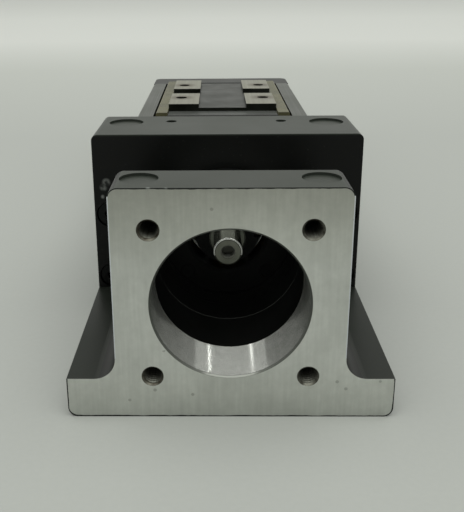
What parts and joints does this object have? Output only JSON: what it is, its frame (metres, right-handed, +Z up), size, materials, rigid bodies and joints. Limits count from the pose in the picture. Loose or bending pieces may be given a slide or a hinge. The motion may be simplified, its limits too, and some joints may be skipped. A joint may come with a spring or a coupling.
{
  "type": "linear guide actuator",
  "caption": "U-rail linear guide actuator with a ball screw, an inner block on the rail's tracks, a motor housing and a far bearing housing.",
  "frame": {"origin": "middle of the base, on the surface that the actuator rests on", "axes": "+Y along the screw from the motor face to the end housing, +Z up, +X across the rail"},
  "size_m": [0.06, 0.226, 0.0445],
  "materials": {
    "black_anodised": "black anodised aluminium, bare machined motor face and pilot",
    "rail_steel": "ground rail steel",
    "block_steel": "ground bearing steel",
    "screw_steel": "ground ball screw",
    "bearing_steel": "polished bearing steel",
    "black_bolt": "black oxide steel",
    "cage_brass": "pressed cage",
    "nipple_brass": "turned brass",
    "black_rubber": "nitrile rubber",
    "black_resin": "moulded resin",
    "grey_resin": "moulded resin",
    "amber_resin": "moulded amber resin"
  },
  "bodies": {
    "base": {"rail": "rail_steel", "motor_housing": "black_anodised", "end_housing": "black_anodised", "housing_bolts": "black_bolt", "end_housing_bolts": "black_bolt", "bearing_cover": "black_anodised", "cover_screws": "black_bolt", "fixed_bearing_outer_rings": "bearing_steel", "end_bearing_outer_ring": "bearing_steel", "shaft_seal": "black_rubber", "end_cap": "black_resin", "front_bumpers": "black_rubber", "rear_bumpers": "black_rubber"},
    "screw": {"ball_screw": "screw_steel", "fixed_bearing_inner_rings": "bearing_steel", "fixed_bearing_balls": "bearing_steel", "fixed_bearing_cages": "cage_brass", "end_bearing_inner_ring": "bearing_steel", "end_bearing_balls": "bearing_steel", "end_bearing_cage": "cage_brass", "lock_nut": "black_bolt", "end_circlip": "black_bolt"},
    "block": {"inner_block": "block_steel", "front_end_plate": "grey_resin", "rear_end_plate": "grey_resin", "front_end_seal": "black_rubber", "rear_end_seal": "black_rubber", "front_plate_screws": "black_bolt", "rear_plate_screws": "black_bolt", "return_guide_left": "amber_resin", "return_guide_right": "amber_resin", "guide_balls_left": "bearing_steel", "guide_balls_right": "bearing_steel", "grease_nipple": "nipple_brass"}
  },
  "joints": [
    {"name": "block_slide", "type": "slide", "parent": "base", "child": "block", "axis": [0, 1, 0], "range_m": [-0.065, 0.0005]},
    {"name": "screw_spin", "type": "hinge", "parent": "base", "child": "screw", "pos_m": [0, 0, 0.0226], "axis": [0, 1, 0], "range_deg": [-31, 3901]}
  ],
  "couplings": [
    {"joint": "screw_spin", "follows": "block_slide", "rad_per_m": -1047.2}
  ]
}
